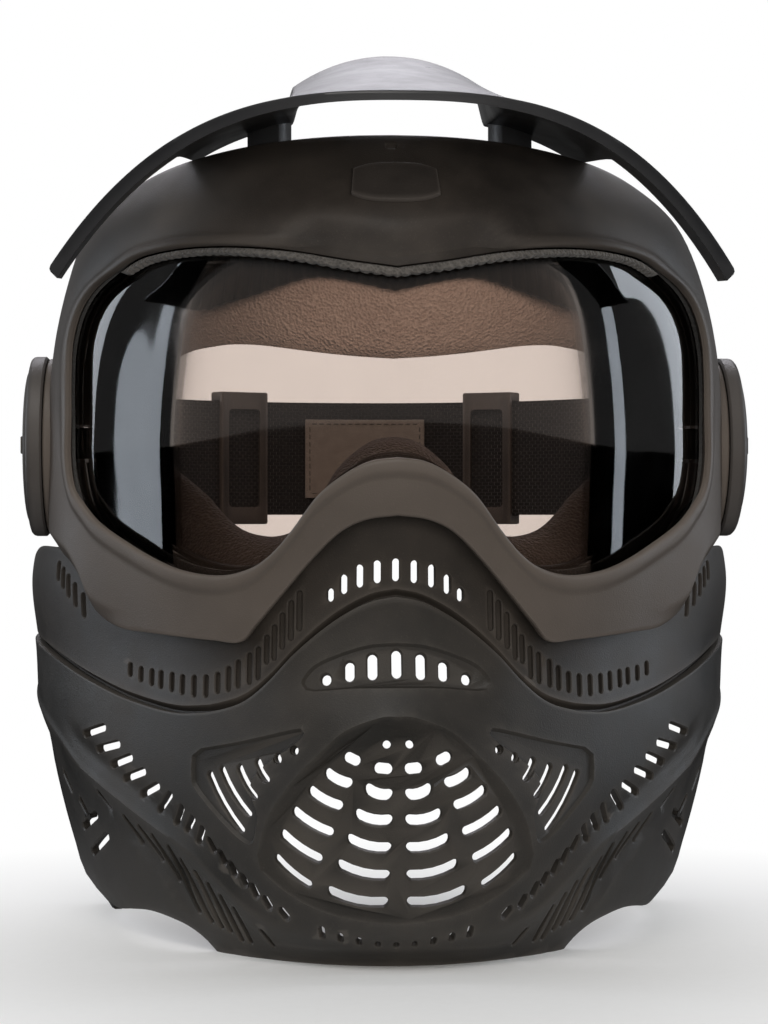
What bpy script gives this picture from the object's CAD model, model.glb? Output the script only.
import itertools
import math

import bmesh
import bpy
import numpy as np
from bmesh.types import BMEdge, BMFace, BMVert
from mathutils import Matrix, Vector


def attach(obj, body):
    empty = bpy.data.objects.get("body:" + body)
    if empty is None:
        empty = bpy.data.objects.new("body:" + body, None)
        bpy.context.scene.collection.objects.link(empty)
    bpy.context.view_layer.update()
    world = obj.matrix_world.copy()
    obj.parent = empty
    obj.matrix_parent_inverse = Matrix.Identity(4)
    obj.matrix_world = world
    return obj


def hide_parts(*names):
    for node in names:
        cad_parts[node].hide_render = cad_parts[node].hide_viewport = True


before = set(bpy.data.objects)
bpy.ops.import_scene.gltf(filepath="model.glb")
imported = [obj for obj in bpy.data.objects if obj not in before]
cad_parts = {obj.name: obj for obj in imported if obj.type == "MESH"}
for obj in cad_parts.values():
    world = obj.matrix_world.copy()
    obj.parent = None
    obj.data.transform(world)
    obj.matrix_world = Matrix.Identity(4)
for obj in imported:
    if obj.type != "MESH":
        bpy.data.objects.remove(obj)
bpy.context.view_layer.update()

# Camera
# It stands level with the middle of the mask, a little to the wearer's right, as in the photograph.
camera = bpy.data.objects.new("camera", bpy.data.cameras.new("camera"))
bpy.context.scene.collection.objects.link(camera)
camera.data.lens = 88.5
camera.location = (-0.0308, -0.6654, 0.120)
camera.rotation_euler = (math.radians(90), 0, math.radians(-2.4))
bpy.context.scene.camera = camera
bpy.context.scene.view_settings.view_transform = "Standard"

# Jaw guard
# One flexible black moulding round the chin, with the mouth grille and rows of vents moulded through
# it. It is made flat, u along the skin and z up, milled there, and then bent round the face.
# Rows of the skin: height, half width, front, depth of the turn to the side, and flare
guard_rows = np.array([
    [0, 80.5, -2, 112, 3], [10, 86.5, -7, 116, 5.3], [20, 89.5, -9, 117, 5.6], [35, 92, -10.5, 116, 7],
    [50, 92.5, -11, 113, 9.3], [65, 92, -10, 110, 11], [80, 91.5, -7, 106, 12.2], [100, 90.5, -5, 101, 15],
    [120, 89, -6, 99, 13], [150, 88, -4, 97, 12]])
# Edges of the guard: place along the skin, then the heights of its bottom, ridge, seam and top
guard_edges = np.array([
    [0, -3, 11.5, 98, 124.3], [7, -3, 11.3, 96.8, 123.3], [15, -3, 10.9, 93.2, 119.8],
    [22, -3, 10.4, 88.6, 114], [29.5, -3, 10.3, 82.4, 105.5], [36.4, -3, 11.5, 75.8, 98.8],
    [44.6, -3, 14.8, 70.1, 94], [54.4, -2.6, 22, 67.2, 93.3], [61, -1.4, 27.2, 66.4, 93.8],
    [66, -0.2, 29.8, 66.1, 94.4], [71, 3.4, 32, 66.3, 95.2], [77, 5.6, 34.5, 67, 96.3],
    [89.5, 7, 39.8, 69.2, 98.8], [104, 5.2, 45.8, 72.9, 104.5], [109.5, 4.2, 48, 74.4, 106.4],
    [118.9, 2.9, 54, 77, 109.3], [128, 3, 58.2, 79.2, 110.2], [140, 0.6, 62.5, 81.3, 109.8],
    [151, -1.5, 66.5, 82.8, 105.8], [161, 9, 69, 83.6, 99.5], [170, 42, 71, 84, 93]])
flap_end, ridge_share = 170, 0.22
guard_wall, ridge_tuck, part_gap = 2.4, 2.6, 0.3
# Length of the skin for one radian round the face; how far the muzzle stands out, its middle and its
# spread; the degrees from which the sides flare, and over how many; how much the flaps turn inwards
guard_roll, muzzle_out, muzzle_z, muzzle_spread = 98, 12, 42, (38, 30)
flare_from, flare_over, flap_inward = 40, 50, 0.006


def ease(x):
    """From 0 to 1 with a soft start and a soft end."""
    t = np.clip(x, 0, 1)
    return t * t * (3 - 2 * t)


def curve_at(rows, x, column):
    """One column of a table at x, on a smooth curve through its rows."""
    keys, values = rows[:, 0], rows[:, column]
    slopes = np.empty(len(keys))
    slopes[1:-1] = (values[2:] - values[:-2]) / (keys[2:] - keys[:-2])
    slopes[0] = (values[1] - values[0]) / (keys[1] - keys[0])
    slopes[-1] = (values[-1] - values[-2]) / (keys[-1] - keys[-2])
    q = np.clip(x, keys[0], keys[-1])
    i = np.clip(np.searchsorted(keys, q, side="right") - 1, 0, len(keys) - 2)
    h = keys[i + 1] - keys[i]
    s = (q - keys[i]) / h
    start = (2 * s ** 3 - 3 * s ** 2 + 1) * values[i] + (s ** 3 - 2 * s ** 2 + s) * h * slopes[i]
    return start + (3 * s ** 2 - 2 * s ** 3) * values[i + 1] + (s ** 3 - s ** 2) * h * slopes[i + 1]


def wrap(u, roll):
    """The turn round the face for a length u along the skin, and the length left past a quarter turn."""
    turn = np.abs(u) / roll
    return np.minimum(turn, math.pi / 2), np.maximum(turn - math.pi / 2, 0) * roll


def guard_skin(u, z):
    turn, past = wrap(u, guard_roll)
    muzzle = muzzle_out * np.exp(-((u / muzzle_spread[0]) ** 2) - ((z - muzzle_z) / muzzle_spread[1]) ** 2)
    flare = curve_at(guard_rows, z, 4) * ease((np.degrees(turn) - flare_from) / flare_over)
    x = np.sign(u) * (curve_at(guard_rows, z, 1) * np.sin(turn) + flare - flap_inward * past ** 2)
    y = curve_at(guard_rows, z, 2) + curve_at(guard_rows, z, 3) * (1 - np.cos(turn)) + past - muzzle
    return np.stack([x, y, z], 1)


def bent_on(skin, u, z, w):
    """Points at height w above a skin."""
    along = skin(u + 0.5, z) - skin(u - 0.5, z)
    up = skin(u, z + 0.5) - skin(u, z - 0.5)
    out = np.cross(along, up)
    return skin(u, z) + out * (w / np.linalg.norm(out, axis=1))[:, None]


def only(kind, geom):
    """The vertices, the edges or the faces in a list of mesh parts."""
    return [g for g in geom if isinstance(g, kind)]


def moved(bm, change):
    """Moves every vertex of a mesh by a function of all their places."""
    places = np.array([v.co for v in bm.verts])
    for vertex, place in zip(bm.verts, change(places)):
        vertex.co = place


def blank(columns, rows, lay_out):
    """A flat sheet of quads. lay_out turns places between 0 and 1 into places on the sheet."""
    bm = bmesh.new()
    bmesh.ops.create_grid(bm, x_segments=columns, y_segments=rows, size=0.5)
    moved(bm, lambda p: lay_out(p[:, 0] + 0.5, p[:, 1] + 0.5))
    return bm


def thicken(bm, depth, soft=0.5):
    """Gives a flat sheet its wall, downwards, and rounds the edge of its face."""
    low = bmesh.ops.extrude_face_region(bm, geom=bm.faces[:])["geom"]
    bmesh.ops.translate(bm, vec=(0, 0, -depth), verts=only(BMVert, low))
    bmesh.ops.recalc_face_normals(bm, faces=bm.faces[:])
    rim = [e for e in bm.edges if all(v.co.z > -1e-6 for v in e.verts)
           and len(e.link_faces) == 2 and e.calc_face_angle() > 1]
    bmesh.ops.bevel(bm, geom=rim, offset=soft, segments=2, affect="EDGES", profile=0.5, material=-1)


def vent_cutter(bm, p, q, width, levels, bow=0):
    """A cutter with round ends from p to q. Levels are pairs of height and growth of its radius."""
    p, q = Vector((*p, 0)), Vector((*q, 0))
    along = (q - p).normalized() if (q - p).length > 1e-6 else Vector((1, 0, 0))
    middle, radius = (p + q) / 2, width / 2
    half = max((q - p).length / 2 - radius, 0)
    ends = [middle - along * half, middle + along * half]
    height, grown = levels[0]
    ring = bmesh.ops.create_circle(
        bm, cap_ends=True, segments=14, radius=radius + grown,
        matrix=Matrix.Rotation(math.atan2(along.y, along.x) + math.pi / 14, 4, "Z"))["verts"]
    for v in ring:
        v.co += ends[v.co.dot(along) > 0]
        v.co.z = height
    face = ring[0].link_faces[0]
    if bow:
        long_edges = [e for e in face.edges if e.calc_length() > half]
        cut = bmesh.ops.bisect_edges(bm, edges=long_edges, cuts=3)["geom_split"]
        face = only(BMVert, cut)[0].link_faces[0]
    made = list(face.verts)
    side = Vector((-along.y, along.x, 0))
    before = radius + grown
    for level, (height, grown) in enumerate(levels[1:]):
        new = bmesh.ops.extrude_face_region(bm, geom=[face])["geom"]
        verts = only(BMVert, new)
        if level:
            bm.faces.remove(face)
        face = only(BMFace, new)[0]
        made += verts
        for v in verts:
            flat = Vector((v.co.x, v.co.y, 0))
            t = max(-half, min(half, (flat - middle).dot(along)))
            spine = middle + along * t
            v.co = spine + (flat - spine) * ((radius + grown) / before)
            v.co.z = height
        before = radius + grown
    for v in made if bow else ():
        v.co += side * bow * (1 - (Vector((v.co.x, v.co.y, 0)) - middle).dot(along) ** 2 / half ** 2)


def panel_cutter(bm, outline, depth, slope=1):
    """A cutter for a sunk panel with sloping sides."""
    face = bm.faces.new([bm.verts.new((u, z, 1)) for u, z in outline])
    face = only(BMFace, bmesh.ops.extrude_face_region(bm, geom=[face])["geom"])[0]
    bmesh.ops.translate(bm, vec=(0, 0, -1), verts=face.verts[:])
    bmesh.ops.inset_region(bm, faces=[face], thickness=depth * slope, use_boundary=True,
                           use_even_offset=True)
    bmesh.ops.translate(bm, vec=(0, 0, -depth), verts=face.verts[:])


def milled(bm, cutters):
    """Takes the cutters out of a solid."""
    bmesh.ops.recalc_face_normals(cutters, faces=cutters.faces[:])
    work = []
    for name, shape in (("blank", bm), ("cutters", cutters)):
        mesh = bpy.data.meshes.new(name)
        shape.to_mesh(mesh)
        shape.free()
        work.append(bpy.data.objects.new(name, mesh))
        bpy.context.scene.collection.objects.link(work[-1])
    cut = work[0].modifiers.new("cut", "BOOLEAN")
    cut.object, cut.solver, cut.operation = work[1], "MANIFOLD", "DIFFERENCE"
    graph = bpy.context.evaluated_depsgraph_get()
    mesh = bpy.data.meshes.new_from_object(work[0].evaluated_get(graph))
    result = bmesh.new()
    result.from_mesh(mesh)
    bpy.data.meshes.remove(mesh)
    for done in work:
        bpy.data.meshes.remove(done.data)
    return result


def spline(points, steps=6):
    """More points on a smooth line through these."""
    rows = np.array([(i, *p) for i, p in enumerate(points)], float)
    t = np.linspace(0, len(points) - 1, (len(points) - 1) * steps + 1)
    return [(float(a), float(b)) for a, b in zip(curve_at(rows, t, 1), curve_at(rows, t, 2))]


def both_sides(half):
    """An outline from its half, which starts and ends on the middle line."""
    return half + [(-u, z) for u, z in reversed(half[1:-1])]


def guard_line(points, u):
    """The height at u of a line along the guard, the same on both sides."""
    return np.interp(np.abs(u), [p[0] for p in points], [p[1] for p in points])


def put(tree, socket, value):
    """Sets a socket to a value, or links a wire to it."""
    if isinstance(value, Wire):
        tree.links.new(value.socket, socket)
    else:
        socket.default_value = value


def node(tree, kind, output=0, settings=(), numbered=(), **named):
    """A node of this kind: its settings, then values or wires for its sockets, by number or by name."""
    made = tree.nodes.new(kind)
    for key, value in dict(settings).items():
        setattr(made, key, value)
    for key, value in dict(numbered).items():
        put(tree, made.inputs[key], value)
    for key, value in named.items():
        put(tree, made.inputs[key.replace("_", " ")], value)
    return Wire(tree, made.outputs[output])


class Wire:
    """A socket in a material, so that sums on it add Math nodes."""

    def __init__(self, tree, socket):
        self.tree, self.socket = tree, socket

    def math(self, operation, a, b):
        return node(self.tree, "ShaderNodeMath", 0, {"operation": operation}, {0: a, 1: b})

    def __add__(self, other):
        return self.math("ADD", self, other)

    def __radd__(self, other):
        return self.math("ADD", other, self)

    def __sub__(self, other):
        return self.math("SUBTRACT", self, other)

    def __rsub__(self, other):
        return self.math("SUBTRACT", other, self)

    def __mul__(self, other):
        return self.math("MULTIPLY", self, other)

    def __rmul__(self, other):
        return self.math("MULTIPLY", other, self)

    def above(self, low, high):
        """From 0 at low to 1 at high."""
        return node(self.tree, "ShaderNodeMapRange", "Result", Value=self, From_Min=low, From_Max=high)


class Finish:
    """A material, built node by node."""

    def __init__(self, name):
        self.material = bpy.data.materials.new(name)
        self.material.use_nodes = True
        self.tree = self.material.node_tree
        self.shader = self.tree.nodes["Principled BSDF"]
        self.out = self.tree.nodes["Material Output"]
        self.places = self.node("ShaderNodeTexCoord", "Object")
        self.coat = Wire(self.tree, self.shader.outputs[0])

    def node(self, kind, output=0, settings=(), numbered=(), **named):
        return node(self.tree, kind, output, settings, numbered, **named)

    def noise(self, scale, detail=3.0, stretch=(1, 1, 1), roughness=0.5):
        placed = self.node("ShaderNodeMapping", Vector=self.places, Scale=stretch)
        return self.node("ShaderNodeTexNoise", Vector=placed, Scale=scale, Detail=detail,
                         Roughness=roughness)

    def mixed(self, a, b, factor):
        """Two colours mixed."""
        a, b = (colour if isinstance(colour, Wire) else (*colour, 1) for colour in (a, b))
        return self.node("ShaderNodeMix", 2, {"data_type": "RGBA"}, {0: factor, 6: a, 7: b})

    def set(self, **values):
        for key, value in values.items():
            put(self.tree, self.shader.inputs[key.replace("_", " ")], value)

    def bump(self, height, strength, distance):
        self.set(Normal=self.node("ShaderNodeBump", Height=height, Strength=strength, Distance=distance))

    def blend(self, factor, under, over):
        """Puts two shaders on the surface, the second one by this factor."""
        mix = self.node("ShaderNodeMixShader", numbered={0: factor, 1: under, 2: over})
        put(self.tree, self.out.inputs["Surface"], mix)


def moulding(name, dark, pale, rough=0.5, grain=0.5, shine=0.4, handled=None):
    """Matte black moulding: cloudy colour, pale rubbed edges, fine grain from the mould. Handled is the
    brown that it has worn to low down, where it is held."""
    finish = Finish(name)
    cloud = finish.noise(22, 4)
    patch = finish.noise(75, 5, roughness=0.6)
    rubbed = finish.node("ShaderNodeNewGeometry", "Pointiness").above(0.505, 0.56)
    speck = finish.noise(1900, 2).above(0.62, 0.72)
    colour = finish.mixed(dark, pale, (cloud * 0.7 + patch * 0.5).above(0.42, 0.78))
    colour = finish.mixed(colour, tuple(min(c * 2.4 + 0.01, 1) for c in pale), rubbed * 0.45)
    colour = finish.mixed(colour, tuple(c * 1.9 for c in pale), speck * 0.25)
    if handled:
        height = finish.node("ShaderNodeSeparateXYZ", 2, Vector=finish.places)
        colour = finish.mixed(finish.mixed(colour, handled, 0.4), colour, height.above(0.135, 0.185))
    finish.set(Base_Color=colour, Roughness=rough + (patch - 0.5) * 0.3 + (cloud - 0.5) * 0.12,
               Specular_IOR_Level=shine)
    fine = finish.noise(2600, 2)
    finish.bump(fine + patch * 0.8, grain, 0.00012)
    return finish.material


def made(bm, name, finish, sharp=38, scale=0.001):
    """The finished object of a mesh in millimetres."""
    bmesh.ops.remove_doubles(bm, verts=bm.verts[:], dist=1e-4)
    bmesh.ops.dissolve_degenerate(bm, edges=bm.edges[:], dist=1e-4)
    bmesh.ops.recalc_face_normals(bm, faces=bm.faces[:])
    mesh = bpy.data.meshes.new(name)
    bm.to_mesh(mesh)
    bm.free()
    mesh.transform(Matrix.Scale(scale, 4))
    mesh.polygons.foreach_set("use_smooth", [True] * len(mesh.polygons))
    mesh.set_sharp_from_angle(angle=math.radians(sharp))
    mesh.materials.append(finish)
    piece = bpy.data.objects.new(name, mesh)
    bpy.context.scene.collection.objects.link(piece)
    return piece


def jaw_layout(a, b):
    u = (a * 2 - 1) * flap_end
    bottom, ridge, seam = (curve_at(guard_edges, np.abs(u), c) for c in (1, 2, 3))
    low = bottom + (ridge - bottom) * np.minimum(b / ridge_share, 1)
    z = low + (seam - part_gap / 2 - ridge) * np.maximum((b - ridge_share) / (1 - ridge_share), 0)
    return np.stack([u, z, 0 * u], 1)


# The lower edge of the sunk band under the ridge, along the skin and up
lower_line = [(66.8, 6.4), (76.8, 18.8), (87.8, 27.6), (104.5, 37.2), (116.4, 47.5)]


def swelling(x, middle, spread):
    """A smooth swelling, 1 at its middle."""
    return np.exp(-(((x - middle) / spread) ** 2))


def jaw_relief(u, z):
    """Ridges and channels of the jaw, in the height above its skin."""
    ridge, far = curve_at(guard_edges, np.abs(u), 2), np.abs(u)
    tuck = -ridge_tuck * ease((ridge - z) / 12)
    side = ease((far - 34) / 14) * ease((118 - far) / 10)
    channel = -0.9 * side * swelling(z - ridge, 6.6, 3.6)
    crest = 0.45 * ease((far - 26) / 20) * swelling(z - ridge, 0, 1.5)
    lower = guard_line(lower_line, u)
    step = -0.8 * ease((far - 66) / 6) * ease((116 - far) / 8) * ease((z - lower) / 1.2 + 0.5)
    step *= ease((ridge - z) / 3)
    chin = 0.35 * swelling(z, 4.2, 1.1) * ease((46 - far) / 8)
    fold = 0.7 * swelling(z, 79, 13) * swelling(far, 29, 9)
    return tuck + channel + crest + step + chin + fold


jaw = blank(170, 58, jaw_layout)
thicken(jaw, guard_wall)
grille_sunk, lip_sunk, fin_sunk = 0.8, 0.75, 0.9
grille_edge = both_sides(
    spline([(0, 67.1), (5, 66.8), (14.5, 63.4), (22, 57.3), (30.2, 49.3), (36.8, 39.8), (40.3, 30)])
    + spline([(39.6, 26), (33, 21), (23.8, 16.5), (12, 13.8), (0, 12.7)]))
fin_edge = spline([(61.1, 54.9), (61.3, 50), (59.6, 45.6), (47.5, 35.1), (42.1, 32.6), (40.3, 36)])[:-1] \
    + spline([(39.6, 40), (41.1, 50), (27.4, 60.6), (26.4, 63), (29, 63.4), (45, 59.6), (58, 57)])
lip_edge = both_sides(spline([(0, 85.8), (8, 85.2), (17, 82.6), (23.3, 79.6), (26.6, 75.6), (25.5, 73.3)])
                      + spline([(23, 73), (12, 74), (0, 74.2)]))
panels = bmesh.new()
panel_cutter(panels, grille_edge, grille_sunk)
panel_cutter(panels, lip_edge, lip_sunk)
for side in (1, -1):
    panel_cutter(panels, [(side * u, z) for u, z in fin_edge], fin_sunk, 0.8)
jaw = milled(jaw, panels)

# Rows of the grille from the top: the height of the inner slot's near end, both its ends and its rise,
# then the outer slot's ends, its height above the inner one and its rise
grille_rows = [
    (60.7, 2.05, 4.45, 0.1), (54.5, 1.75, 6.9, 0.4, 10.75, 15.3, 1.45, 1.9),
    (47.5, 2, 9.6, 1.8, 13.2, 20.85, 2.6, 3.1), (40.75, 1.95, 12.4, 1.7, 15.9, 25.5, 3.3, 4.3),
    (33.2, 2.2, 14.7, 2.5, 18.55, 30.15, 3.6, 5.8), (25.6, 2.5, 17.5, 3, 21.9, 33.7, 3.8, 6.9),
    (18.15, 2.8, 20.5, 2.9, 25.2, 35.6, 3.95, 7.6)]


def through(floor, growth=0.4):
    """Levels of a cutter that goes through, with a chamfer at the floor of its panel."""
    return [(-6, 0), (floor - growth, 0), (floor, growth), (floor + 2, growth)]


def vent_pair(bm, p, q, width, levels, bow=0):
    """The same vent on both sides, or a single one on the middle line."""
    for side in (1, -1) if p[0] else (1,):
        vent_cutter(bm, (side * p[0], p[1]), (side * q[0], q[1]), width, levels, side * bow)


vents = bmesh.new()
for z, near, far, rise, *outer in grille_rows:
    vent_pair(vents, (near, z), (far, z + rise), 3.1 if outer else 2.4, through(-grille_sunk),
              -0.05 * (far - near) * (far > 9))
    if outer:
        start, end, low, rise = outer
        vent_pair(vents, (start, z + low), (end, z + low + rise), 2.9 if z > 19 else 2.4,
                  through(-grille_sunk), -0.04 * (end - start) * (end > 20))
# Slots beside the grille: top, bottom and bow of each
fins = [
    ((56.1, 50.8), (45, 35.3), 0.6), ((52, 52.4), (42.6, 39.8), 0.6), ((46.3, 53.2), (40.3, 44.7), 0.4),
    ((40.6, 55.2), (36.7, 49.4), 0.2), ((34.4, 56.9), (33.2, 54.7), 0), ((29.2, 58.7), (28.4, 57.4), 0)]
# Both ends of each slot: in the long row along the jaw, on its underside and on the ear flap
jaw_row = [
    ((107, 57), (95.9, 60.1)), ((100.9, 53.2), (89.6, 55.9)), ((94.7, 49.3), (84.4, 52.7)),
    ((89.3, 45.9), (79.1, 49.3)), ((82.2, 42.1), (73.7, 45.9)), ((75.1, 38.4), (69, 44.2)),
    ((68.5, 35.4), (64.9, 41.2)), ((64.7, 33.8), (61, 38.5)), ((60.6, 31), (57.8, 36.1)),
    ((54.6, 28.9), (56.7, 33.2)), ((51.5, 25.8), (53.1, 30.1)), ((48.4, 22.9), (49.9, 27.3)),
    ((45, 20.5), (46.6, 24.1)), ((41.4, 17.8), (43.6, 21.7)), ((37.3, 15.1), (39.6, 18.7)),
    ((32.1, 12.8), (34.8, 15.9))]
underside = [
    ((103.9, 41.2), (98.4, 35.9)), ((92.4, 35.4), (86.1, 27.4)), ((85.8, 33.4), (78.1, 23.4)),
    ((80, 31.5), (72.4, 18.4)), ((73.6, 29.1), (65.7, 10)), ((68.8, 26.1), (61.8, 7.3)),
    ((63.4, 23.3), (58.5, 6)), ((59.1, 20.5), (55.5, 5.1)), ((54.9, 17.6), (52.3, 2.8)),
    ((50.7, 14.5), (49.1, 2.6)), ((42.9, 8.5), (40.4, 2.6))]
flap = [((118.5, 37), (113, 31.5)), ((120.4, 27.8), (107.5, 33.6)), ((117.8, 20.5), (103, 28)),
        ((130, 44), (123.5, 38))]
# Place, bottom and top of the slots in the chin and over the lip
chin = [(0, 5, 6.9), (5.7, 5.15, 7.2), (11.4, 5.7, 8.6), (16.9, 6.8, 9.9), (22.3, 7.8, 11.6)]
lip = [(0, 77, 84.2), (6.9, 76.6, 83.2), (13.4, 76.1, 81.1), (20, 75.4, 77.4)]
for top, bottom, bow in fins:
    vent_pair(vents, top, bottom, 2, through(-fin_sunk, 0.3), bow)
for rows, width in ((jaw_row, 2.1), (underside, 1.7), (flap, 2.3)):
    for a, b in rows:
        vent_pair(vents, a, b, width, through(0, 0.35))
for u, low, high in chin:
    vent_pair(vents, (u, low), (u, high), 1.8, through(0, 0.25))
for u, low, high in lip:
    vent_pair(vents, (u, low), (u, high), 2.9, through(-lip_sunk))
jaw = milled(jaw, vents)
moved(jaw, lambda p: bent_on(guard_skin, p[:, 0], p[:, 1], p[:, 2] + jaw_relief(p[:, 0], p[:, 1])))
cut = bmesh.ops.bisect_plane(jaw, geom=jaw.verts[:] + jaw.edges[:] + jaw.faces[:], dist=1e-4,
                             plane_co=(0, 0, 0), plane_no=(0, 0, 1), clear_inner=True)["geom_cut"]
bmesh.ops.holes_fill(jaw, edges=only(BMEdge, cut))
jaw_finish = moulding("jaw_moulding", (0.0145, 0.0135, 0.012), (0.034, 0.0295, 0.025))
jaw_piece = made(jaw, "jaw_guard_shell", jaw_finish)
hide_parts("jaw_guard")
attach(jaw_piece, "mask")

# Cheek skirt
# The upper half of the guard, a softer moulding of its own. Its lower edge is lapped behind the jaw
# guard, and it has the vents under the nose, blind ribs along the seam and slots at the frame's corners.
skirt_depth, seam_lap, seam_groove = 0.9, 5, (0.4, 1.9)


def skirt_layout(a, b):
    u = (a * 2 - 1) * flap_end
    seam, top = (curve_at(guard_edges, np.abs(u), c) for c in (3, 4))
    z = seam + np.interp(b, [0, 0.1, 0.2], [-seam_lap, *seam_groove])
    z += (top - seam - seam_groove[1]) * np.maximum((b - 0.2) / 0.8, 0)
    return np.stack([u, z, 0 * u], 1)


def skirt_relief(u, z):
    seam = curve_at(guard_edges, np.abs(u), 3)
    lap = -guard_wall - part_gap - 0.1
    return lap - (lap + skirt_depth) * ease((z - seam - seam_groove[0]) / 1.5)


# Place, top and bottom of each blind rib; place, bottom and top of the vents under the nose; place, top
# and bottom of those at the frame's corners
ribs = [
    (28.1, 98.5, 88.8), (30.6, 95.9, 86.3), (33.2, 92.7, 84), (35.6, 89.5, 81), (37.9, 86.8, 80),
    (40.5, 83.7, 75.9), (43.2, 82, 74.6), (46.8, 80, 73.5), (49.9, 78.2, 72.5), (53.5, 76.5, 71.8),
    (57.5, 75.7, 70.6), (61.8, 75.4, 70.5), (66.2, 75.4, 70.9), (70.3, 75.8, 71.5), (74.6, 76.1, 72.1),
    (78.2, 76.4, 72.7), (82.5, 76.8, 73.5), (86.8, 77.7, 74.7)]
nose_row = [
    (0, 101.8, 107.7), (5.4, 101.3, 107.2), (10.5, 100.2, 106.1), (15.1, 98.5, 103.5), (19, 96.5, 100)]
corner_row = [
    (120.4, 105.9, 100.2), (117.5, 104.2, 98), (114.5, 102.3, 95.5), (111, 99.9, 92.9), (107, 97.1, 90)]
screw_places = [(57, 89.6), (84, 92.6)]
skirt = blank(170, 30, skirt_layout)
thicken(skirt, guard_wall, 0.3)
vents = bmesh.new()
for u, high, low in ribs:
    low = max(low, float(curve_at(guard_edges, u, 3)) + 3.2)
    vent_pair(vents, (u, low), (u, high + 0.8), 1.7, [(-1, 0), (-0.3, 0), (0, 0.3), (1, 0.3)])
for u, low, high in nose_row:
    vent_pair(vents, (u, low), (u, high), 2.1, through(0, 0.3))
for u, high, low in corner_row:
    vent_pair(vents, (u, high), (u - 0.4, low), 1.9, through(0, 0.3))
for u, z in screw_places:
    for side in (1, -1):
        vent_cutter(vents, (side * u - 0.01, z), (side * u, z), 3.4, [(-6, 0), (1, 0)])
skirt = milled(skirt, vents)
moved(skirt, lambda p: bent_on(guard_skin, p[:, 0], p[:, 1], p[:, 2] + skirt_relief(p[:, 0], p[:, 1])))
skirt_finish = moulding("skirt_moulding", (0.017, 0.0148, 0.0128), (0.042, 0.035, 0.029))
skirt_piece = made(skirt, "cheek_skirt_shell", skirt_finish)
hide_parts("cheek_skirt")
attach(skirt_piece, "mask")

# Goggle frame
# A stiff black moulding round the lens, with a raised rim, a facet along each lower corner, a creased
# brow and a deep wall behind that holds the lens. One closed section is carried round the opening.
# Rows of the skin: height, half width, front, depth of the turn to the side, and swell beside the face
frame_rows = np.array([
    [80, 93.5, -10, 92, 3], [100, 95.6, -12, 92, 5], [120, 96.4, -14, 93, 5], [140, 96.6, -15.5, 93, 5],
    [165, 94.8, -15.7, 93, 5], [185, 91.2, -14.5, 92, 4], [200, 87.5, -8.5, 88, 1.5], [212, 80, 2, 81, 0],
    [225, 68, 17, 73, 0]])
# Stations round the opening: the frame's outer edge and its inner edge, each along the skin and up, and
# how far in the foam reaches
frame_rails = np.array([
    [0, 0, 119.2, 0, 134.2, 5], [1, 8, 118, 7, 133.2, 5], [2, 15, 114.5, 13.5, 130, 5],
    [3, 22.5, 107.3, 20.5, 124.5, 5], [4, 30.5, 98.5, 27.5, 115.5, 5], [5, 38.5, 90, 33.5, 109, 6],
    [6, 43.5, 85.5, 40, 105, 7], [7, 52, 85.8, 49, 103.2, 8], [8, 62, 86.4, 60.5, 104.4, 9],
    [9, 74, 87.2, 71.5, 107.8, 11], [10, 86.5, 88.2, 82, 112.3, 13], [11, 97, 91.6, 90.5, 117, 14],
    [12, 99.8, 97.8, 96, 121.8, 15], [13, 106.5, 104.8, 100.4, 127, 16], [14, 119, 109.2, 102.1, 135, 16],
    [15, 140, 113.5, 102.3, 147, 16], [16, 164, 124, 103.5, 159, 16], [17, 174, 142, 104.5, 168, 16],
    [18, 168, 163, 102.8, 176, 16], [19, 155, 178, 98, 181.8, 17], [20, 138, 191, 90.5, 185.9, 18],
    [21, 120, 204.5, 82.5, 189.2, 19], [22, 104, 211.5, 70, 190.5, 20], [23, 88, 216, 57, 190.7, 21],
    [24, 66, 219.2, 43, 190, 21], [25, 42, 221.2, 29, 188.5, 22], [26, 20, 222.1, 14.5, 186, 24],
    [27, 0, 222.3, 0, 184, 25]])
last_rail = 27
frame_wall, lens_well, rim_height, lip_thick, lip_wide = 3, 9, 0.8, 0.9, 4
frame_roll, nose_height = 96, 3
# The lens's ears along the skin and up
ear_u, ear_z = (103.5, 124.5), (134.5, 143.5)


def frame_skin(u, z):
    turn, past = wrap(u, frame_roll)
    swell = np.sin(math.pi * np.clip((np.degrees(turn) - 45) / 42, 0, 1)) ** 2
    x = np.sign(u) * (curve_at(frame_rows, z, 1) * np.sin(turn) + curve_at(frame_rows, z, 4) * swell)
    y = curve_at(frame_rows, z, 2) + curve_at(frame_rows, z, 3) * (1 - np.cos(turn)) + past
    return np.stack([x, y, z], 1)


def stations(a):
    """Stations and sides for places from 0 to 1 round the opening, from the nose and back to it."""
    return last_rail * (1 - np.abs(2 * a - 1)), np.where(a <= 0.5, 1, -1)


def rail(k):
    """Outer and inner ends of the frame's face at station k."""
    return (np.stack([curve_at(frame_rails, k, 1), curve_at(frame_rails, k, 2)], 1),
            np.stack([curve_at(frame_rails, k, 3), curve_at(frame_rails, k, 4)], 1))


def width_at(k):
    outer, inner = rail(k)
    return np.linalg.norm(inner - outer, axis=1)


def across(k, side, f):
    """The place on the skin that lies f in from the frame's outer edge at station k."""
    outer, inner = rail(k)
    place = outer + (inner - outer) * (f / width_at(k))[:, None]
    return side * place[:, 0], place[:, 1]


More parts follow.
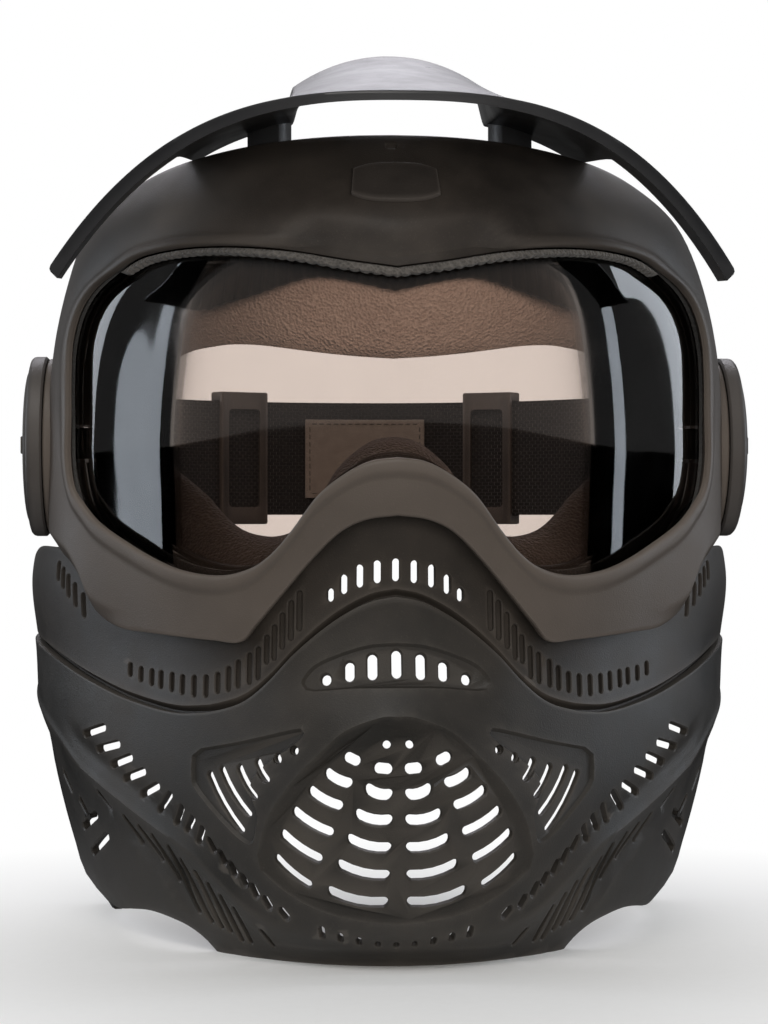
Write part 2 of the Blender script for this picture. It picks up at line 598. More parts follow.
def hoop(columns, section, place):
    """A closed section carried round the opening; place turns stations, sides and rows into places."""
    section = np.array(section + section[:1], float)
    bm = bmesh.new()
    bmesh.ops.create_grid(bm, x_segments=columns, y_segments=len(section) - 1, size=0.5)

    def lay(p):
        rows = section[np.rint((p[:, 1] + 0.5) * (len(section) - 1)).astype(int)]
        return place(*stations(p[:, 0] + 0.5), rows)
    moved(bm, lay)
    bmesh.ops.remove_doubles(bm, verts=bm.verts[:], dist=1e-4)
    bmesh.ops.recalc_face_normals(bm, faces=bm.faces[:])
    return bm


def frame_place(k, side, rows):
    """Rows hold a distance, the share of the frame's width added to it, a height and its relief."""
    f = rows[:, 0] + rows[:, 1] * width_at(k)
    u, z = across(k, side, f)
    crease = np.interp(np.abs(u), [0, 22.9, 33.6, 46], [194.2, 198.2, 191.7, 187.5]) - z
    brow = -0.17 * (np.hypot(crease, 0.35) + crease) * ease((48 - np.abs(u)) / 10) * (k > 20)
    corner = -0.6 * np.maximum(5.2 - f, 0) * ease((k - 9.6) / 1.6) * ease((16.8 - k) / 1.2)
    nose = nose_height * np.exp(-((u / 17) ** 2) - ((z - 124) / 17) ** 2)
    low_rim = np.maximum(rows[:, 2], 0) * 0.75 * ease((k - 23) / 2)
    return np.stack([u, z, rows[:, 2] - low_rim + rows[:, 3] * (brow + corner + nose)], 1)


def on_frame_skin(p):
    return bent_on(frame_skin, p[:, 0], p[:, 1], p[:, 2])


section = [(0.3, 0, -2.8, 0.4), (0, 0, -2.3, 0.6), (0, 0, -0.9, 1), (0.25, 0, -0.3, 1), (0.8, 0, 0, 1)]
section += [(0.8 - 6 * t, t, 0, 1) for t in np.linspace(0, 1, 22)[1:]]
section += [
    (-4.5, 1, 0.25, 1), (-3.7, 1, 0.6, 1), (-2.9, 1, rim_height, 1), (-1.2, 1, rim_height, 1),
    (-0.5, 1, 0.6, 1), (-0.1, 1, 0.15, 1), (0, 1, -0.3, 0.6), (0, 1, -lip_thick, 0),
    (-lip_wide, 1, -frame_wall, 0), (-6, 1, -frame_wall, 0), (-6, 1, -frame_wall - lens_well, 0),
    (-8.5, 1, -frame_wall - lens_well, 0), (-8.5, 1, -frame_wall, 0)]
section += [(1 - 9.5 * t, t, -frame_wall, 0) for t in np.linspace(1, 0, 9)[1:]]
rim = hoop(324, section, frame_place)


def box(bm, low, high):
    """A box between two corners."""
    low, high = Vector(low), Vector(high)
    return bmesh.ops.create_cube(
        bm, size=1, matrix=Matrix.LocRotScale((low + high) / 2, None, high - low))["verts"]


notches = bmesh.new()
vent_cutter(notches, (-2.7, 218.3), (1.3, 218.3), 1.4, through(0, 0.3))
for side in (1, -1):
    near, far = sorted((side * ear_u[0], side * (ear_u[1] + 2)))
    box(notches, (near, ear_z[0] - 1, -frame_wall - lens_well - 1),
        (far, ear_z[1] + 1, -frame_wall - 0.2))
rim = milled(rim, notches)
moved(rim, on_frame_skin)

# The pods' axis and turned pieces on it, with profiles of distance outwards and radius
pivot_y, pivot_z = 69, 139


def turned(bm, profile, side=1, start=0, sweep=360, steps=72):
    """Turns a closed profile about the pods' axis; directions run from straight back, downwards."""
    before = set(bm.verts)
    first = [bm.verts.new((r, 0, x)) for x, r in profile]
    face = bm.faces.new(first)
    bmesh.ops.rotate(bm, verts=first, cent=(0, 0, 0), matrix=Matrix.Rotation(math.radians(start), 3, "Z"))
    whole = sweep == 360
    bmesh.ops.spin(bm, geom=face.edges[:] if whole else [face], axis=(0, 0, 1), cent=(0, 0, 0),
                   angle=math.radians(sweep), steps=steps, use_merge=whole)
    if whole:
        bm.faces.remove(face)
    for v in bm.verts:
        if v not in before:
            v.co = (side * v.co.z, pivot_y + v.co.x, pivot_z - v.co.y)


holes = bmesh.new()
for side in (1, -1):
    turned(holes, [(88, 0), (88, 11.35), (118, 11.35), (118, 0)], side)
rim = milled(rim, holes)
frame_finish = moulding("frame_moulding", (0.022, 0.019, 0.0168), (0.052, 0.0435, 0.037), 0.5,
                        handled=(0.16, 0.132, 0.112))
rim_piece = made(rim, "goggle_frame_shell", frame_finish)
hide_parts("goggle_frame")
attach(rim_piece, "mask")

# Fixings of the frame
# The same moulding carries a round pad for each pod, two sockets for the visor, gussets over the lens
# wall and bosses for the screws of the skirt. They grow out of the shell and overlap it.
socket_u, socket_z = 54, 219
pad_profile = [(88, 22.8), (88, 25.4), (96.6, 25.4), (97, 25), (97, 22.8)]
socket_box, bore_box = ((-6.25, 2, -13), (6.25, 17, 0)), ((-3.3, 9.2, -14), (3.3, 12.8, 2))
boss_foot, boss_end, boss_long, boss_sunk = 3.3, 3.1, 6.6, 2.7
gusset_from, gusset_step, gusset_half = 19.0, 2, 0.7
gusset_corners = (8.7, -frame_wall), (14.5, -frame_wall), (8.7, -frame_wall - lens_well + 3)


def place_on(skin, u, z, w=0.0):
    return Vector(bent_on(skin, *(np.array([float(value)]) for value in (u, z, w)))[0])


def facing(skin, u, z):
    """Axes at a place on a skin: along the mask, inwards and up."""
    origin = place_on(skin, u, z)
    out = place_on(skin, u, z, 1) - origin
    return Matrix.Translation(origin) @ Matrix.Rotation(math.atan2(out.x, -out.y), 4, "Z")


def hull(bm, points):
    """Adds the solid that wraps these points."""
    found = bmesh.ops.convex_hull(bm, input=[bm.verts.new(p) for p in points])
    bmesh.ops.delete(bm, geom=list(set(only(BMVert, found["geom_interior"]))), context="VERTS")


def joined(bm, other):
    """Adds another mesh to this one."""
    mesh = bpy.data.meshes.new("joined")
    other.to_mesh(mesh)
    other.free()
    bm.from_mesh(mesh)
    bpy.data.meshes.remove(mesh)


def mirrored(bm):
    """Adds the same shapes on the other side of the mask."""
    copies = bmesh.ops.duplicate(bm, geom=bm.verts[:] + bm.edges[:] + bm.faces[:])["geom"]
    bmesh.ops.scale(bm, vec=(-1, 1, 1), verts=only(BMVert, copies))


def softened(bm, offset, segments=2, angle=0.6):
    """Rounds the sharp edges of a solid."""
    sharp = [e for e in bm.edges if len(e.link_faces) == 2 and e.calc_face_angle() > angle]
    bmesh.ops.bevel(bm, geom=sharp, offset=offset, segments=segments, affect="EDGES", profile=0.5,
                    material=-1)


fixings = bmesh.new()
turned(fixings, pad_profile, 1, steps=60)
inside = blank(24, 10, lambda a, b: np.stack([82 + 92 * a, pivot_z + 60 * (b - 0.5), 0 * a - 2], 1))
thicken(inside, 22, 0.01)
moved(inside, on_frame_skin)
fixings = milled(fixings, inside)
socket = bmesh.new()
box(socket, *socket_box)
softened(socket, 0.8)
bore = bmesh.new()
box(bore, *bore_box)
socket = milled(socket, bore)
bmesh.ops.transform(socket, verts=socket.verts[:], matrix=facing(frame_skin, socket_u, socket_z))
for p in screw_places:
    out = place_on(guard_skin, *p, 1) - place_on(guard_skin, *p)
    turn = Matrix.Rotation(math.atan2(out.x, -out.y), 4, "Z") @ Matrix.Rotation(math.pi / 2, 4, "X")
    bmesh.ops.create_cone(socket, cap_ends=True, segments=32, radius1=boss_foot, radius2=boss_end,
                          depth=boss_long, matrix=Matrix.Translation(place_on(guard_skin, *p)) @ turn
                          @ Matrix.Translation((0, 0, boss_sunk)))
for k in np.arange(gusset_from, last_rail + 1, gusset_step):
    corners = []
    for f, w in gusset_corners:
        (u,), (z,) = across(np.array([k]), 1, width_at(np.array([k])) - f)
        middle = place_on(frame_skin, u, z, w)
        corners += [middle + Vector(c) * gusset_half for c in itertools.product((1, -1), repeat=3)]
    hull(socket, corners)
joined(fixings, socket)
mirrored(fixings)
fixings_piece = made(fixings, "frame_fixings", frame_finish)
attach(fixings_piece, "mask")

# Brow plate
# A small bare plate in the middle of the brow, thin and slightly domed, narrower at its ends. It is
# moulded by itself and glued on.
plate_z, plate_half, plate_rise, plate_thick = 206.5, (13, 5.5), 0.15, 1.2


def plate_layout(a, b):
    across_it = 2 * a - 1
    tall = plate_half[1] * (1 - 0.35 * np.abs(across_it) ** 3)
    return np.stack([plate_half[0] * across_it, plate_z + tall * (2 * b - 1), 0 * a], 1)


plate = blank(36, 8, plate_layout)
thicken(plate, plate_thick, 0.4)
moved(plate, lambda p: on_frame_skin(p + [0, 0, plate_rise + plate_thick]))
plate_finish = moulding("plate_moulding", (0.021, 0.0185, 0.017), (0.05, 0.043, 0.038), 0.46)
plate_piece = made(plate, "brow_plate_blank", plate_finish)
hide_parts("brow_plate")
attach(plate_piece, "mask")

# Lens
# Two clear panes with an air gap, curved round the face. The outer one is hard and coated, and has an
# ear at each side that the dial's cam holds; a foam tape keeps the thin inner one off it.
lens_depth, outer_pane, pane_gap, inner_pane, lens_lap, ear_inset = 4.3, 1.6, 2, 0.8, 5.3, 0.2


def pane_layout(a, b):
    side = np.where(a < 0.5, -1, 1)
    reach = np.abs(2 * a - 1)
    half = last_rail * 0.6
    low = np.stack(across(half * reach, side, width_at(half * reach) - lens_lap), 1)
    top = last_rail - (last_rail - half) * reach
    high = np.stack(across(top, side, width_at(top) - lens_lap), 1)
    place = low + (high - low) * b[:, None]
    return np.column_stack([place, 0 * a])


def pane(thick, depth):
    bm = blank(150, 40, pane_layout)
    bmesh.ops.remove_doubles(bm, verts=bm.verts[:], dist=1e-3)
    thicken(bm, thick, 0.25)
    moved(bm, lambda p: on_frame_skin(p - [0, 0, depth]))
    return bm


def glazing(name, tint, rough, mirror):
    """Clear plastic: what is behind shows through a tint, under a gloss that grows at the edges."""
    finish = Finish(name)
    smear = finish.noise(45, 5, (1, 1, 0.5), 0.6)
    finish.set(Base_Color=(1, 1, 1, 1), Metallic=1.0, Roughness=rough + smear.above(0.45, 0.9) * 0.09)
    clear = finish.node("ShaderNodeBsdfTransparent", Color=(*tint, 1))
    gloss = finish.node("ShaderNodeFresnel", IOR=1.5) * mirror + smear.above(0.5, 0.9) * 0.02
    finish.blend(gloss, clear, finish.coat)
    return finish.material


front_pane = pane(outer_pane, lens_depth)
for side in (1, -1):
    ear = blank(16, 6, lambda a, b: np.stack(
        [side * (ear_u[0] + (ear_u[1] - ear_u[0]) * a), ear_z[0] + (ear_z[1] - ear_z[0]) * b, 0 * a], 1))
    thicken(ear, outer_pane - 2 * ear_inset, 0.3)
    moved(ear, lambda p: on_frame_skin(p - [0, 0, lens_depth + ear_inset]))
    joined(front_pane, ear)
outer_glass = glazing("outer_pane_plastic", (0.9, 0.84, 0.8), 0.02, 1.1)
outer_piece = made(front_pane, "lens_outer_pane", outer_glass)
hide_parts("lens_outer")
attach(outer_piece, "mask")
inner_glass = glazing("inner_pane_plastic", (0.97, 0.95, 0.94), 0.04, 0.7)
inner_piece = made(pane(inner_pane, lens_depth + outer_pane + pane_gap), "lens_inner_pane", inner_glass)
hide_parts("lens_inner")
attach(inner_piece, "mask")


def foam(name, dark, pale, size=900, depth=0.0006, upper=None):
    """Open foam: a matte colour with fine open cells and slow patches of wear. It may be of two kinds,
    with another colour over the forehead."""
    finish = Finish(name)
    cells = finish.node("ShaderNodeTexVoronoi", Vector=finish.places, Scale=size)
    patch = finish.noise(60, 4)
    fuzz = finish.noise(size * 0.7, 3)
    worn = (cells * 0.6 + patch * 0.8 + fuzz * 0.3).above(0.35, 1.15)
    colour = finish.mixed(dark, pale, worn)
    if upper:
        height = finish.node("ShaderNodeSeparateXYZ", 2, Vector=finish.places) + patch * 0.01
        colour = finish.mixed(colour, finish.mixed(*upper, worn), height.above(0.157, 0.168))
    finish.set(Base_Color=colour, Roughness=0.95, Specular_IOR_Level=0.15, Sheen_Weight=0.25,
               Sheen_Roughness=0.6)
    finish.bump(cells + fuzz * 0.7, 0.8, depth)
    return finish.material


tape_finish = foam("tape_foam", (0.02, 0.02, 0.021), (0.05, 0.048, 0.045), 1500, 0.0003)
for name, tape_solid, out, reach, front, back in (
        ("lens_gasket_tape", "lens_gasket", -5.3, -4.2, -3.15, -4.05),
        ("lens_spacer_tape", "lens_spacer", -5, 0.6, -6.35, -7.45)):
    tape = hoop(216, [(out, 1, front, 0), (reach, 1, front, 0), (reach, 1, back, 0), (out, 1, back, 0)],
                frame_place)
    moved(tape, on_frame_skin)
    tape_piece = made(tape, name, tape_finish)
    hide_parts(tape_solid)
    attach(tape_piece, "mask")

# Vent foam
# A strip of coarse open foam over the lens, under the edge of the brow, that keeps dust out of the vent.
# It is cut with a row of teeth along its lower edge.
strip_from, strip_wide, strip_thick, strip_depth, tooth_depth = 20, 1.8, 2.4, 1.5, 0.5


def strip_layout(a, b):
    k, side = strip_from + (last_rail - strip_from) * (1 - np.abs(2 * a - 1)), np.where(a < 0.5, 1, -1)
    teeth = tooth_depth * np.abs(np.sin(k * 14)) * b
    u, z = across(k, side, width_at(k) + 0.3 + (strip_wide + teeth) * b)
    return np.stack([u, z, 0 * a], 1)


strip = blank(360, 4, strip_layout)
thicken(strip, strip_thick, 0.2)
moved(strip, lambda p: on_frame_skin(p - [0, 0, strip_depth]))
strip_finish = foam("vent_foam", (0.03, 0.028, 0.026), (0.12, 0.11, 0.1), 1100)
strip_piece = made(strip, "vent_foam_strip", strip_finish)
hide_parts("vent_foam")
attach(strip_piece, "mask")

# Face foam and its carrier
# The carrier is a thin moulded hoop that clips in behind the lens. Soft foam is glued to it, wide over
# the forehead and narrow at the nose, and has rounded edges where it meets the face.
carrier_section = [(-12, 1, -14.3, 0), (-12, 1, -12.7, 0), (-11.6, 1, -12.3, 0), (0.6, 1, -12.3, 0),
                   (1, 1, -12.7, 0), (1, 1, -14.3, 0)]
carrier = hoop(216, carrier_section, frame_place)
moved(carrier, on_frame_skin)
carrier_finish = moulding("carrier_moulding", (0.02, 0.019, 0.018), (0.04, 0.037, 0.033))
carrier_piece = made(carrier, "foam_carrier_hoop", carrier_finish)
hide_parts("foam_carrier")
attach(carrier_piece, "mask")


# The foam's inner edge over the forehead and the temples, from station 12 on
foam_edge = np.array([
    [12, 94, 134], [13, 95, 139.5], [14, 95, 144.5], [15, 95.5, 149], [16, 95.5, 153],
    [17, 95.5, 157], [18, 94.5, 160.5], [19, 91.5, 163.5], [20, 86.5, 165.7], [21, 79, 167],
    [22, 68, 167.3], [23, 55, 166.5], [24, 41, 165], [25, 27, 163.3], [26, 13, 162], [27, 0, 161.3]])


def foam_place(k, side, rows):
    """Rows hold a distance from the opening, the share of the way to the foam's edge, and a depth."""
    start = np.stack(across(k, side, width_at(k)), 1)
    reached = np.stack(across(k, side, width_at(k) + curve_at(frame_rails, k, 5)), 1)
    drawn = np.stack([side * curve_at(foam_edge, k, 1), curve_at(foam_edge, k, 2)], 1)
    edge = reached + (drawn - reached) * ease((k - 10) / 2)[:, None]
    place = np.stack(across(k, side, width_at(k) + rows[:, 0]), 1) + (edge - start) * rows[:, 1:2]
    return np.column_stack([place, -rows[:, 2]])


foam_section = [
    (-11, 0, 15.2), (-10.4, 0, 14.95), (-5, 0, 14.9), (0, 0, 14.9), (0.5, 0.02, 15), (0.6, 0.3, 17.2),
    (0.6, 0.6, 19.6), (0.5, 0.8, 22), (0.3, 0.93, 24.2), (0, 0.99, 26), (-0.2, 0.97, 27.4),
    (-0.5, 0.88, 28.4), (-0.8, 0.72, 28.85), (-2, 0.4, 28.9), (-4, 0.1, 28.9), (-6.2, 0, 28.8),
    (-7.6, 0, 28.3), (-8.9, 0, 27.2), (-9.8, 0, 25.6), (-10.6, 0, 22), (-11, 0, 18)]
cushion = hoop(324, foam_section, foam_place)
moved(cushion, on_frame_skin)
cushion_finish = foam("face_foam", (0.05, 0.044, 0.04), (0.13, 0.115, 0.105), 1300, 0.0008,
                      ((0.6, 0.51, 0.46), (0.88, 0.8, 0.75)))
cushion_piece = made(cushion, "face_foam_cushion", cushion_finish)
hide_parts("face_foam")
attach(cushion_piece, "mask")

# Vent comb
# A thin ribbed strip of the carrier hangs behind the top of the inner pane and shades the vent. It is
# guessed from its dark edge in the photo, and is a little deeper at both ends than in the middle.
comb_end, comb_depth, comb_wall, rib_pitch, rib_height = 76, 11, 1.2, 4.5, 0.7
comb_reach = spline([(0, 4.6), (24, 3.3), (45, 10.5), (62, 14.6), (72, 14), (comb_end, 11)])


def comb_layout(a, b):
    u = comb_end * (2 * a - 1)
    top = np.interp(np.abs(u), frame_rails[:18:-1, 3], frame_rails[:18:-1, 4]) + 2
    return np.stack([u, top - (guard_line(comb_reach, u) + 2) * b, 0 * a], 1)


def on_comb(p):
    rib = rib_height * np.sin(math.pi * p[:, 0] / rib_pitch) ** 4
    return bent_on(frame_skin, p[:, 0], p[:, 1], p[:, 2] - comb_depth + rib - rib_height)


comb = blank(400, 6, comb_layout)
thicken(comb, comb_wall, 0.2)
moved(comb, on_comb)
comb_finish = moulding("comb_moulding", (0.006, 0.006, 0.006), (0.014, 0.013, 0.012))
comb_piece = made(comb, "vent_comb", comb_finish)
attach(comb_piece, "mask")

# Visor
# A thin glossy moulding over the brow. Its middle rises in a scoop and runs far back, its wings are
# short, and two posts with tongues stand in the frame's sockets.
visor_crest, visor_drop, visor_front, visor_wrap, visor_half = 226, 41.5, -33, 39, 92
visor_depth, wing_depth, wing_from, scoop_half, scoop_side, scoop_height = 70, 15, 56, 26.5, 3, 15
visor_wall, visor_climb, climb_fall, scoop_fall, wing_turn = 2.4, 0.09, 0.01, 0.47, 4
post_box, tongue_box = ((-5.25, 7.5, 0.3), (5.25, 14.5, 16)), ((-3, 9.5, -9), (3, 12.5, 1))


def visor_place(x, v, w):
    """The place at x along the visor, v back from its front edge and w above its outer face."""
    part = np.minimum(np.abs(x) / scoop_half, 1)
    reach = visor_depth + (wing_depth - visor_depth) * ease((np.abs(x) - wing_from) / wing_turn)
    scoop = scoop_height * (1 - scoop_fall * part ** 2) * (1 - ease((np.abs(x) - scoop_half) / scoop_side))
    climb = visor_climb - climb_fall * np.minimum(np.abs(x) / wing_from, 1) ** 3
    top = visor_crest - visor_drop * (np.abs(x) / visor_half) ** 3 + climb * reach * v + scoop * v
    edge = visor_front + visor_wrap * (x / visor_half) ** 2
    return np.stack([x + np.sign(x) * w * part, edge + reach * v, top + w], 1)


def visor_layout(a, b):
    """Columns lie closer together at the sides of the scoop and at the roots of the wings."""
    half = np.array([scoop_half - 0.5, scoop_half + scoop_side + 0.5, wing_from - 0.4,
                     wing_from + wing_turn + 0.4, visor_half])
    columns = np.array([25, 35, 51, 59, 75]) / 150
    x = np.interp(a, [*(0.5 - columns[::-1]), *(0.5 + columns)], [*-half[::-1], *half])
    return np.stack([x, 100 * b, 0 * a], 1)


shade = blank(150, 30, visor_layout)
thicken(shade, visor_wall, 0.7)
moved(shade, lambda p: visor_place(p[:, 0], p[:, 1] / 100, p[:, 2]))
posts = bmesh.new()
box(posts, *post_box)
box(posts, *tongue_box)
softened(posts, 0.6)
bmesh.ops.transform(posts, verts=posts.verts[:], matrix=facing(frame_skin, socket_u, socket_z))
above = blank(40, 8, visor_layout)
thicken(above, visor_wall / 2, 0.01)
moved(above, lambda p: visor_place(p[:, 0], p[:, 1] / 100, np.where(p[:, 2] < -0.1, -0.8, 40)))
posts = milled(posts, above)
mirrored(posts)
joined(shade, posts)
visor_finish = moulding("visor_moulding", (0.009, 0.0095, 0.011), (0.02, 0.02, 0.021), 0.34, 0.2, 0.5)
visor_piece = made(shade, "visor_shell", visor_finish)
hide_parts("visor")
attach(visor_piece, "visor_unit")

# Side pods
# At each side a black ring with a raised rim is held on by the pivot screw. The dial turns in it on a
# hollow spindle, has a low thumb bar, and carries the lug that holds the lens's ear.
ring_profile = [
    (90.1, 5.56), (90.1, 10.5), (90.6, 11), (97.3, 11), (97.3, 25.4), (97.9, 26), (98.9, 26), (98.9, 7.5),
    (100.6, 7.5), (100.87, 7.2), (100.87, 5.8), (100.6, 5.56)]
rim_profile = [
    (98.7, 22.8), (98.7, 26), (100.6, 26), (101.3, 25.8), (101.8, 25.3), (102, 24.6), (102, 23.4),
    (101.85, 23), (101.5, 22.8)]
dial_profile = [
    (89.8, 3.06), (89.8, 5.5), (101, 5.5), (101, 22), (101.3, 22.3), (102, 22.3), (102.5, 22.1),
    (102.85, 21.6), (103, 20.9), (103, 19.2), (102.65, 18.9), (102.65, 18.3), (103, 18), (103, 7.3),
    (102.7, 6.9), (101.8, 6.9), (101.8, 3.06)]
rim_start, rim_sweep = 62, 235
grip_near, grip_far, grip_half, grip_face = 7.9, 17.3, 2.5, 103.9
pod_finish = moulding("pod_moulding", (0.018, 0.017, 0.0165), (0.045, 0.04, 0.037), 0.46)
dial_finish = moulding("dial_moulding", (0.022, 0.021, 0.02), (0.052, 0.047, 0.043), 0.42)


def screw_steel(name, rough):
    """Zinc-plated steel, with a fine turned grain and dull patches."""
    finish = Finish(name)
    turned_lines = finish.noise(2400, 2, (1, 0.2, 0.2))
    patch = finish.noise(240, 4)
    finish.set(Base_Color=finish.mixed((0.42, 0.42, 0.41), (0.62, 0.61, 0.58), patch), Metallic=1.0,
               Roughness=rough + (patch - 0.5) * 0.25 + (turned_lines - 0.5) * 0.12)
    finish.bump(turned_lines, 0.3, 0.00005)
    return finish.material


def dressed(name, material, width):
    """A part that keeps its CAD shape, with its own material and edges rounded to a width in metres."""
    part = bpy.data.objects[name]
    for slot in part.material_slots:
        slot.material = material
    part.modifiers.new("weld", "WELD").merge_threshold = 1e-6
    rounded = part.modifiers.new("rounded", "BEVEL")
    rounded.width, rounded.segments, rounded.limit_method = width, 2, "ANGLE"


steel = screw_steel("pivot_steel", 0.34)
lug_finish = moulding("lug_moulding", (0.02, 0.02, 0.022), (0.04, 0.04, 0.042), 0.5)
for name, side in (("left", 1), ("right", -1)):
    ring = bmesh.new()
    turned(ring, ring_profile, side, steps=96)
    turned(ring, rim_profile, side, rim_start, rim_sweep, 80)
    ring_piece = made(ring, f"pod_ring_{name}", pod_finish, 32)
    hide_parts(f"pod_base_{name}")
    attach(ring_piece, "mask")
    dial = bmesh.new()
    for end in (1, -1):
        y0, y1 = sorted((pivot_y + end * grip_near, pivot_y + end * grip_far))
        box(dial, (102.9, y0, pivot_z - grip_half), (grip_face, y1, pivot_z + grip_half))
    softened(dial, 0.35)
    bmesh.ops.scale(dial, vec=(side, 1, 1), verts=dial.verts[:])
    turned(dial, dial_profile, side, steps=96)
    dial_piece = made(dial, f"dial_cap_{name}", dial_finish, 32)
    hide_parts(f"lock_dial_{name}")
    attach(dial_piece, f"dial_{name}")
    dressed(f"lens_cam_{name}", lug_finish, 0.0003)
    dressed(f"pivot_screw_{name}", steel, 0.00015)
    dressed(f"pivot_nut_{name}", steel, 0.00015)

# Strap arms
# A flat moulded arm turns on the bearing of each pod, under the dial, and ends in a round bar for the
# strap. The skirt's screws are of the same plated steel as the pivots.
arm_finish = moulding("arm_moulding", (0.018, 0.017, 0.0165), (0.042, 0.038, 0.035), 0.5)
for name in ("left", "right"):
    dressed(f"strap_arm_{name}", arm_finish, 0.0004)
dressed("guard_screws", screw_steel("guard_screw_steel", 0.4), 0.0002)

# Headband
# Wide woven elastic. It runs round the back of the head, round the bar on each arm and back on itself,
# and its cut ends lie under the sliders.
bar_x, bar_y, strap_cy, strap_wide, strap_thick = 99.95, 107, 146, 40, 1.5
loop_r, inner_r, outer_r, tail_turn = 2.8, 90.8, 92.7, 17


def around(cx, cy, r, start, end, count):
    """Points on an arc; directions run from straight back towards the wearer's left."""
    a = np.linspace(start, end, count)
    return np.stack([cx + r * np.sin(a), cy + r * np.cos(a)], 1)


def strap_route():
    """The strap's middle line from above: from the middle of the back out, round one bar and back."""
    toward = math.atan2(bar_x, bar_y - strap_cy)
    far = math.hypot(bar_x, bar_y - strap_cy)
    inner_leave = toward - math.acos((inner_r + loop_r) / far)
    outer_leave = toward - math.acos((outer_r - loop_r) / far)
    inner = around(0, strap_cy, inner_r, 0, inner_leave, 60)
    loop = around(bar_x, bar_y, loop_r, inner_leave - math.pi, outer_leave - 2 * math.pi, 22)
    outer = around(0, strap_cy, outer_r, outer_leave, math.radians(tail_turn), 46)
    out, back = np.linspace(inner[-1], loop[0], 20)[1:-1], np.linspace(loop[-1], outer[0], 20)[1:-1]
    half = np.concatenate([inner, out, loop, back, outer])
    return np.concatenate([half[:0:-1] * [-1, 1], half])


route = strap_route()
route_at = np.concatenate([[0], np.cumsum(np.linalg.norm(np.diff(route, axis=0), axis=1))])
along_route = np.gradient(route, axis=0)
beside_route = np.stack([-along_route[:, 1], along_route[:, 0]], 1)
beside_route /= np.linalg.norm(beside_route, axis=1)[:, None]


def strap_layout(a, b):
    s = np.interp(a * (len(route) - 1), np.arange(len(route)), route_at)
    return np.stack([s, strap_wide * (b - 0.5), 0 * a], 1)


def on_strap(p):
    """From the flat strap, length, width and height, to its place."""
    place = [np.interp(p[:, 0], route_at, route[:, i]) for i in (0, 1)]
    side = [np.interp(p[:, 0], route_at, beside_route[:, i]) for i in (0, 1)]
    ripple = 0.1 * np.sin(p[:, 0] / 7) * (p[:, 1] / 20) ** 2
    w = p[:, 2] + strap_thick / 2 + ripple
    return np.stack([place[0] + side[0] * w, place[1] + side[1] * w, pivot_z + p[:, 1]], 1)


def keep_flat_places(bm):
    """Stores a flat piece's places, in metres, for a pattern that follows its surface."""
    layer = bm.loops.layers.uv.new("flat")
    for face in bm.faces:
        for corner in face.loops:
            corner[layer].uv = corner.vert.co.xy / 1000


def woven(name, dark, pale, length, width, depth, sheen=0.3):
    """Narrow weaving: offset rows of short floats, a little uneven, matte with some sheen."""
    finish = Finish(name)
    flat = finish.node("ShaderNodeTexCoord", "UV")
    uneven = finish.node("ShaderNodeTexNoise", Vector=flat, Scale=260.0, Detail=4.0)
    rows = finish.node("ShaderNodeTexBrick", 1, Vector=flat, Scale=1.0, Mortar_Size=width * 0.16,
                       Mortar_Smooth=1.0, Brick_Width=length, Row_Height=width)
    strands = finish.node("ShaderNodeTexNoise", Vector=finish.node(
        "ShaderNodeMapping", Vector=flat, Scale=(120, 2600, 1)), Scale=1.0, Detail=2.0)
    colour = finish.mixed(dark, pale, (uneven * 0.8 + strands * 0.5 - rows * 0.5).above(0.1, 1.0))
    finish.set(Base_Color=colour, Roughness=0.86 + (uneven - 0.5) * 0.2, Specular_IOR_Level=0.2,
               Sheen_Weight=sheen, Sheen_Roughness=0.5)
    finish.bump(strands * 0.4 - rows, 0.9, depth)
    return finish.material


band = blank(len(route) - 1, 16, strap_layout)
thicken(band, strap_thick, 0.3)
keep_flat_places(band)
moved(band, on_strap)
elastic = woven("elastic", (0.006, 0.006, 0.007), (0.03, 0.028, 0.028), 0.0024, 0.0012, 0.00035)
band_piece = made(band, "headband_elastic", elastic, 50)
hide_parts("headband")
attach(band_piece, "headband_unit")

# Strap patch
# A blank satin label, sewn to the inside of the strap at the back of the head. Its edge is puckered a
# little by the stitches.
patch_long, patch_tall, patch_r, patch_thick, patch_gap = 43, 28, 89.85, 0.5, 0.12


def patch_layout(a, b):
    s, v = patch_long * (a - 0.5), patch_tall * (b - 0.5)
    return np.stack([s, v, 0 * a], 1)


def on_patch(p):
    edge = np.minimum(patch_long / 2 - np.abs(p[:, 0]), patch_tall / 2 - np.abs(p[:, 1]))
    pucker = 0.1 * np.sin((p[:, 0] + p[:, 1]) * 2.4) * swelling(edge, 1.5, 1.2)
    r, a = patch_r - patch_thick - p[:, 2] - patch_gap - pucker, p[:, 0] / patch_r
    return np.stack([r * np.sin(a), strap_cy + r * np.cos(a), pivot_z + p[:, 1]], 1)


label = blank(60, 40, patch_layout)
thicken(label, patch_thick, 0.15)
keep_flat_places(label)
moved(label, on_patch)
satin = woven("patch_satin", (0.2, 0.17, 0.15), (0.34, 0.3, 0.265), 0.0014, 0.0004, 0.00008, 0.5)
label_piece = made(label, "strap_patch_label", satin, 50)
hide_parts("strap_patch")
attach(label_piece, "headband_unit")
thread = bmesh.new()
inset, stitch, pitch, thread_half = 1.6, 1.7, 2.6, 0.2
for ends, fixed, upright in ((patch_long, patch_tall, False), (patch_tall, patch_long, True)):
    count = int((ends - 2 * inset) / pitch)
    for i in range(count):
        s = (i - (count - 1) / 2) * pitch
        for edge in (fixed / 2 - inset, inset - fixed / 2):
            low, high = (s - stitch / 2, edge - thread_half), (s + stitch / 2, edge + thread_half)
            if upright:
                low, high = low[::-1], high[::-1]
            box(thread, (*low, -0.1), (*high, 0.11))
softened(thread, 0.09, 1)
keep_flat_places(thread)
moved(thread, on_patch)
